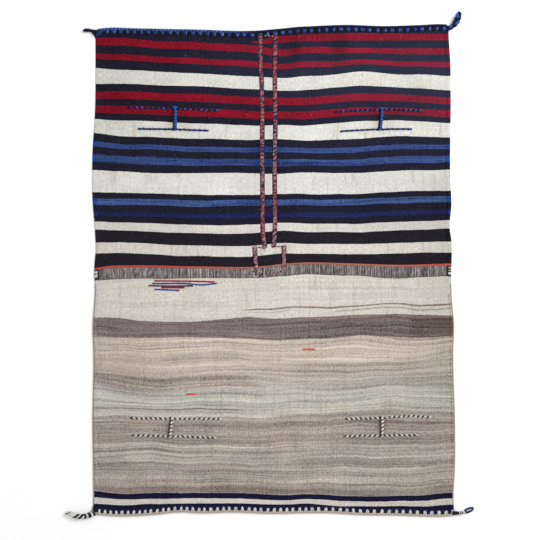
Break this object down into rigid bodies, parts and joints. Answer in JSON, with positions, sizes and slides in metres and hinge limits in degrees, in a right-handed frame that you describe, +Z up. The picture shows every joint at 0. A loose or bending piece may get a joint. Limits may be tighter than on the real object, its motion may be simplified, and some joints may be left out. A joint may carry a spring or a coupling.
{
  "type": "kilim saddle bag",
  "caption": "Striped flat-woven wool saddle bag, opened out and lying flat in one layer, with twined end borders, sewn neck seams, closed slits and corner cords.",
  "frame": {"origin": "middle of the opened-out cloth's outline, on the surface it lies on", "axes": "+Y along the warps towards the end with the red stripes, +X along the weft stripes, +Z up out of the cloth"},
  "size_m": [1.2023, 1.4899, 0.0195],
  "materials": {
    "striped_wool": "weft-faced plain weave, matte wool",
    "blue_yarn": "twined two-ply wool, matte",
    "navy_yarn": "twined and plaited wool, matte",
    "tan_yarn": "twisted undyed wool cord, matte",
    "brown_yarn": "twined undyed dark wool, matte",
    "grey_yarn": "ribbed wrapping of black and white wool, matte",
    "orange_yarn": "single dyed wool yarn, matte",
    "rose_yarn": "oversewn marled wool, matte",
    "red_yarn": "single dyed wool yarn, matte"
  },
  "bodies": {
    "root": {"woven_cloth": "striped_wool", "top_edge_cord": "blue_yarn", "top_twined_border": "blue_yarn", "bottom_edge_cord": "tan_yarn", "bottom_twined_border": "navy_yarn", "selvedge_cord_left": "brown_yarn", "selvedge_cord_right": "brown_yarn", "middle_band": "grey_yarn", "orange_line": "orange_yarn", "band_wrap_left": "brown_yarn", "band_wrap_right": "brown_yarn", "slit_upper_left_line_above": "blue_yarn", "slit_upper_left_line_below": "blue_yarn", "slit_upper_left_bar": "blue_yarn", "slit_upper_right_line_above": "blue_yarn", "slit_upper_right_line_below": "blue_yarn", "slit_upper_right_bar": "blue_yarn", "slit_lower_left_line_above": "brown_yarn", "slit_lower_left_line_below": "brown_yarn", "slit_lower_left_bar": "brown_yarn", "slit_lower_right_line_above": "brown_yarn", "slit_lower_right_line_below": "brown_yarn", "slit_lower_right_bar": "brown_yarn", "centre_seam_left": "rose_yarn", "centre_seam_right": "rose_yarn", "box_seam_left": "rose_yarn", "box_seam_right": "rose_yarn", "stitch_yarn_neck_top": "rose_yarn", "stitch_yarn_left_step": "rose_yarn", "stitch_yarn_right_step": "rose_yarn", "stitch_yarn_box_foot": "rose_yarn", "seam_knot": "brown_yarn", "brocade_red_top": "red_yarn", "brocade_blue_top": "blue_yarn", "brocade_dark": "navy_yarn", "brocade_red_low": "red_yarn", "brocade_blue_low": "blue_yarn", "tick_red": "red_yarn", "tick_orange": "orange_yarn", "tail_top_left": "navy_yarn", "tail_top_right": "navy_yarn", "tail_bottom_left": "navy_yarn", "tail_bottom_right": "navy_yarn"}
  },
  "joints": []
}
